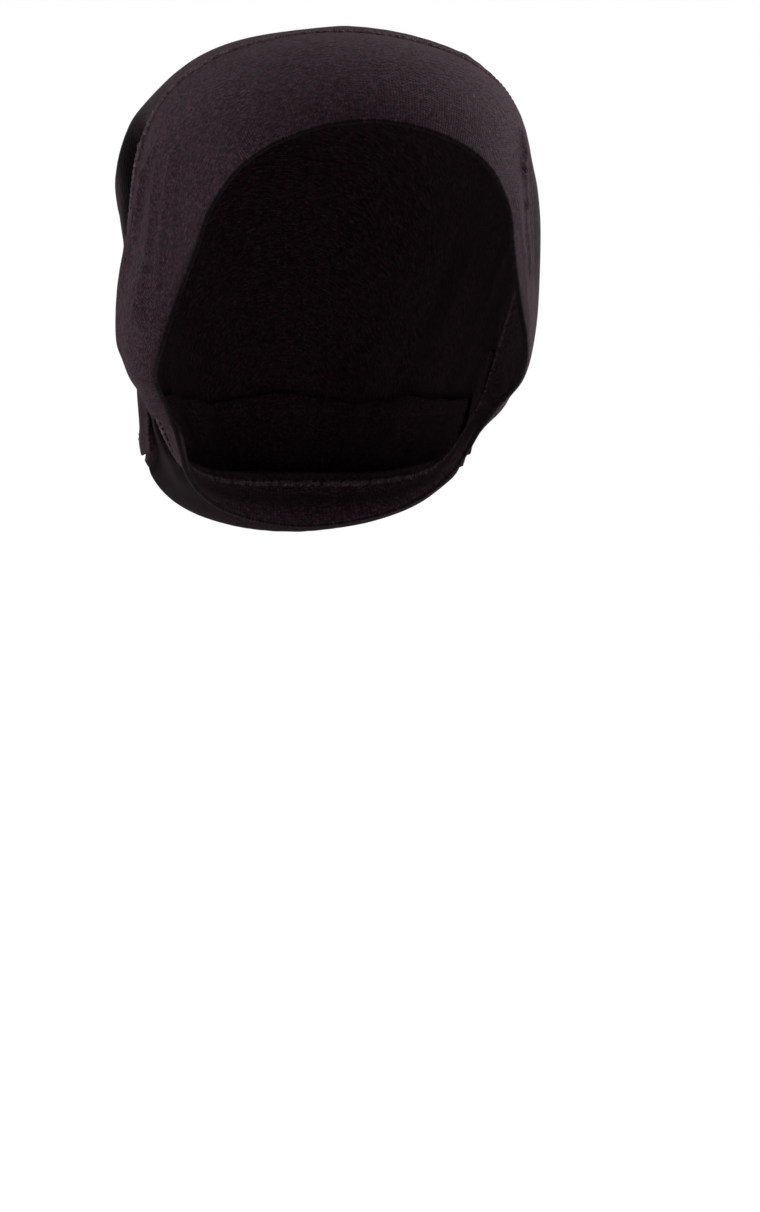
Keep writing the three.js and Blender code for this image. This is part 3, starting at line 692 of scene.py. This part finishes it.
def cottonJersey(name, look):
    # cotton jersey, knitted and brushed: matt columns of small loops, uneven from loop to loop,
    # with a bloom of loose fibres that greys it a little
    material = bpy.data.materials.new(name)
    material.use_nodes = True
    tree = material.node_tree
    tree.nodes.clear()
    output = addNode(tree, "ShaderNodeOutputMaterial")
    place = addNode(tree, "ShaderNodeUVMap", uv_map="clothMap").outputs[0]
    wander = addNode(tree, "ShaderNodeTexNoise", {"Vector": place, "Scale": 0.3, "Detail": 2.0})
    bent = addNode(tree, "ShaderNodeVectorMath", {0: wander.outputs["Color"], 1: (0.7, 0.9, 0)}, operation="MULTIPLY")
    bent = addNode(tree, "ShaderNodeVectorMath", {0: place, 1: bent.outputs[0]}, operation="ADD").outputs[0]
    split = addNode(tree, "ShaderNodeSeparateXYZ", {0: bent})
    wale = math2(tree, "MULTIPLY", split.outputs[0], 1 / look["wale"])
    course = math2(tree, "MULTIPLY", split.outputs[1], 1 / look["course"])
    away = math2(tree, "ABSOLUTE", math2(tree, "SUBTRACT", math2(tree, "FRACT", wale), 0.5))
    rib = math2(tree, "COSINE", math2(tree, "MULTIPLY", away, math.pi))
    slant = math2(tree, "ADD", course, math2(tree, "MULTIPLY", away, 1.1))
    loop = math2(tree, "ABSOLUTE", math2(tree, "SUBTRACT", math2(tree, "FRACT", slant), 0.5))
    loop = math2(tree, "SUBTRACT", 1.0, math2(tree, "MULTIPLY", loop, 1.3))
    # the pull of the band opens its ribs towards the crown, and the courses show instead
    pulled = addNode(tree, "ShaderNodeMapRange", {0: split.outputs[1], 1: 6.0, 2: 40.0, 3: 0.55, 4: 0.96}).outputs[0]
    rib = addNode(tree, "ShaderNodeMix", {0: pulled, 2: rib, 3: 0.85}).outputs[0]
    height = math2(tree, "MULTIPLY", rib, loop)
    # each loop takes its own shade
    cell = addNode(tree, "ShaderNodeCombineXYZ", {0: math2(tree, "FLOOR", wale), 1: math2(tree, "FLOOR", slant)})
    chance = addNode(tree, "ShaderNodeTexWhiteNoise", {"Vector": cell.outputs[0]}, noise_dimensions="2D")
    flat = addNode(tree, "ShaderNodeVectorMath", {0: place, 1: (0.5, 1.2, 0)}, operation="MULTIPLY").outputs[0]
    patch = addNode(tree, "ShaderNodeTexNoise", {"Vector": flat, "Scale": 0.8, "Detail": 4.0, "Roughness": 0.7})
    blotch = addNode(tree, "ShaderNodeTexNoise", {"Vector": place, "Scale": 0.6, "Detail": 4.0, "Roughness": 0.8})
    fade = addNode(tree, "ShaderNodeMapRange", {0: blotch.outputs[0], 1: 0.42, 2: 0.58})
    dyed = addNode(tree, "ShaderNodeMix", {0: fade.outputs[0], 6: linear(look["yarn"]), 7: linear(look["faded"])},
                   data_type="RGBA")
    fluff = addNode(tree, "ShaderNodeTexNoise", {"Vector": place, "Scale": 1.3, "Detail": 4.0, "Roughness": 0.7})
    # painted shade between the loops, where the relief is low
    cloth = addNode(tree, "ShaderNodeMix", {0: height, 6: linear(look["gapShade"]), 7: dyed.outputs[2]},
                    data_type="RGBA")
    speck = addNode(tree, "ShaderNodeMapRange", {0: fluff.outputs[0], 1: 0.5, 2: 0.8, 3: 0.0, 4: 0.5})
    speckled = addNode(tree, "ShaderNodeMix", {0: speck.outputs[0], 6: cloth.outputs[2], 7: linear(look["fibre"])},
                       data_type="RGBA")
    patchShade = addNode(tree, "ShaderNodeMapRange", {0: patch.outputs[0], 1: 0.3, 2: 0.7, 3: 0.4, 4: 1.55})
    loopShade = addNode(tree, "ShaderNodeMapRange", {0: chance.outputs[0], 3: 0.6, 4: 1.4})
    shade = math2(tree, "MULTIPLY", patchShade.outputs[0], loopShade.outputs[0])
    # painted shade: deep folds, turned-under rims, the face edge and the nape pouch lose the light, darkened in the
    # colour
    deep = addNode(tree, "ShaderNodeAttribute", attribute_name="paintedShade").outputs["Fac"]
    shade = math2(tree, "MULTIPLY", shade, math2(tree, "SUBTRACT", 1.0, math2(tree, "MULTIPLY", deep, 0.95)))
    coloured = addNode(tree, "ShaderNodeHueSaturation", {"Value": shade, "Color": speckled.outputs[2]})
    relief = math2(tree, "ADD", height, math2(tree, "MULTIPLY", fluff.outputs[0], 0.9))
    dashes = math2(tree, "MULTIPLY", math2(tree, "MULTIPLY", patch.outputs[0], pulled), 2.2)
    relief = math2(tree, "ADD", relief, dashes)
    bump = addNode(tree, "ShaderNodeBump", {"Height": relief, "Strength": 1.0, "Distance": 0.0005})
    shader = addNode(tree, "ShaderNodeBsdfPrincipled", {
        "Base Color": coloured.outputs[0], "Roughness": 0.8, "IOR": 1.5, "Specular IOR Level": 0.03,
        "Sheen Weight": 0.035, "Sheen Roughness": 0.3, "Sheen Tint": linear("#e6d0d7"),
        "Normal": bump.outputs[0]})
    tree.links.new(shader.outputs[0], output.inputs[0])
    return material


def overlockThread(name, colour):
    # textured polyester thread: darker than the cloth and a little glossier
    material = bpy.data.materials.new(name)
    material.use_nodes = True
    tree = material.node_tree
    tree.nodes.clear()
    output = addNode(tree, "ShaderNodeOutputMaterial")
    place = addNode(tree, "ShaderNodeTexCoord").outputs["Object"]
    fluff = addNode(tree, "ShaderNodeTexNoise", {"Vector": place, "Scale": 2500.0, "Detail": 3.0})
    tint = addNode(tree, "ShaderNodeMix", {0: fluff.outputs[0], 6: linear(colour), 7: linear("#1a1417")},
                   data_type="RGBA")
    bump = addNode(tree, "ShaderNodeBump", {"Height": fluff.outputs[0], "Strength": 0.4, "Distance": 0.0001})
    shader = addNode(tree, "ShaderNodeBsdfPrincipled", {
        "Base Color": tint.outputs[2], "Roughness": 0.7, "Specular IOR Level": 0.1, "Normal": bump.outputs[0]})
    tree.links.new(shader.outputs[0], output.inputs[0])
    return material


jersey = cottonJersey("cotton jersey", jerseyLook)
# painted highlight: the roll's copy of the jersey is lighter all through, for the light its raised ridge catches
rolled = cottonJersey("rolled jersey painted lighter", {**jerseyLook, "yarn": "#4a393e", "faded": "#433c3f", "gapShade": "#1c1517"})
thread = overlockThread("polyester thread", "#0a0709")
for piece, node, slotName, finish in (
    (bandCloth, "front_band", "band_jersey", jersey),
    (crownCloth, "crown_panel", "body_jersey", jersey),
    (hemCloth, "open_hem", "hem_jersey", jersey),
    (napeCloth, "nape_panel", "nape_jersey", jersey),
    (seamRoll, "crown_seam", "seam_jersey", rolled),
    (seamStitches, None, "seam_jersey", thread),
    (hemStitches, None, "hem_jersey", thread),
):
    piece.data.materials.append(finish)
    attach(piece, "root")
    if node:
        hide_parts(node)

print("stage, light and camera")
studio = {
    "floorLevel": -0.5,
    "floorSize": 60,
    "turn": math.radians(11),
    "focal": 5460 / 1212 * 36,
}


def makeStage(spec):
    for piece in bpy.context.selected_objects:
        piece.select_set(False)
    bpy.ops.mesh.primitive_plane_add(size=spec["floorSize"], location=(0, 0, spec["floorLevel"]))
    floor = bpy.context.object
    floor.name = "stage"
    paint = bpy.data.materials.new("white floor, painted shadow and glow")
    paint.use_nodes = True
    shader = paint.node_tree.nodes["Principled BSDF"]
    shader.inputs["Roughness"].default_value = 0.9
    shader.inputs["Emission Color"].default_value = linear("#ffffff")
    # painted light and shade: it glows further out, for a floor in full light, and its colour is a darker grey under
    # the cap, a painted shadow
    tree = paint.node_tree
    place = addNode(tree, "ShaderNodeTexCoord").outputs["Object"]
    away = addNode(tree, "ShaderNodeVectorMath", {0: place}, operation="LENGTH").outputs["Value"]
    glow = addNode(tree, "ShaderNodeMapRange", {0: away, 1: 0.3, 2: 4.0, 3: 0.0, 4: 1.0})
    tree.links.new(glow.outputs[0], shader.inputs["Emission Strength"])
    share = addNode(tree, "ShaderNodeMapRange", {0: away, 1: 0.3, 2: 1.2}).outputs[0]
    paintedShadowTone = addNode(tree, "ShaderNodeMix", {0: share, 6: linear("#b8b8b8"), 7: linear("#f6f6f6")}, data_type="RGBA")
    tree.links.new(paintedShadowTone.outputs[2], shader.inputs["Base Color"])
    floor.data.materials.append(paint)


def softLight(name, place, aim, size, power, colour="#ffffff"):
    light = bpy.data.lights.new(name, "AREA")
    light.shape = "RECTANGLE"
    light.size, light.size_y = size
    light.energy = power
    light.color = linear(colour)[:3]
    lamp = bpy.data.objects.new(name, light)
    bpy.context.scene.collection.objects.link(lamp)
    from mathutils import Vector
    lamp.location = place
    lamp.rotation_euler = (Vector(aim) - Vector(place)).to_track_quat("-Z", "Y").to_euler()


makeStage(studio)
softLight("key softbox", (0.5, -1.5, 1.6), (0, 0, -0.08), (1.1, 1.1), 15)
softLight("left softbox", (-1.1, -0.9, 1.3), (0, 0, -0.08), (0.7, 0.7), 4)
softLight("left strip", (-1.45, 0.3, 0.1), (0, 0, -0.08), (0.3, 1.3), 32)
softLight("right strip", (1.4, 0.45, 0.3), (0, 0, -0.05), (0.4, 1.5), 52)
softLight("top strip", (0.3, 0.6, 1.4), (0, 0, -0.05), (1.2, 0.5), 17)
# the room is white behind the cap and darker to the sides and behind the camera
world = bpy.data.worlds.new("studio room")
world.use_nodes = True
room = world.node_tree
way = addNode(room, "ShaderNodeTexCoord").outputs["Generated"]
depth = addNode(room, "ShaderNodeVectorMath", {0: way, 1: (0.19, 0.98, 0)}, operation="DOT_PRODUCT").outputs["Value"]
level = addNode(room, "ShaderNodeMapRange", {0: depth, 1: 0.2, 2: 0.9, 3: 0.22, 4: 1.0})
room.nodes["Background"].inputs[0].default_value = linear("#ffffff")
room.links.new(level.outputs[0], room.nodes["Background"].inputs[1])
bpy.context.scene.world = world
bpy.context.scene.view_settings.view_transform = "Standard"

camera = bpy.data.cameras.new("camera")
camera.sensor_fit = "VERTICAL"
camera.sensor_height = 36
camera.lens = studio["focal"]
camera.clip_end = 30
cameraStand = bpy.data.objects.new("camera", camera)
bpy.context.scene.collection.objects.link(cameraStand)
cameraStand.location = (-0.3629, -1.9669, -0.21034)
cameraStand.rotation_euler = (math.pi / 2, 0, -studio["turn"])
bpy.context.scene.camera = cameraStand
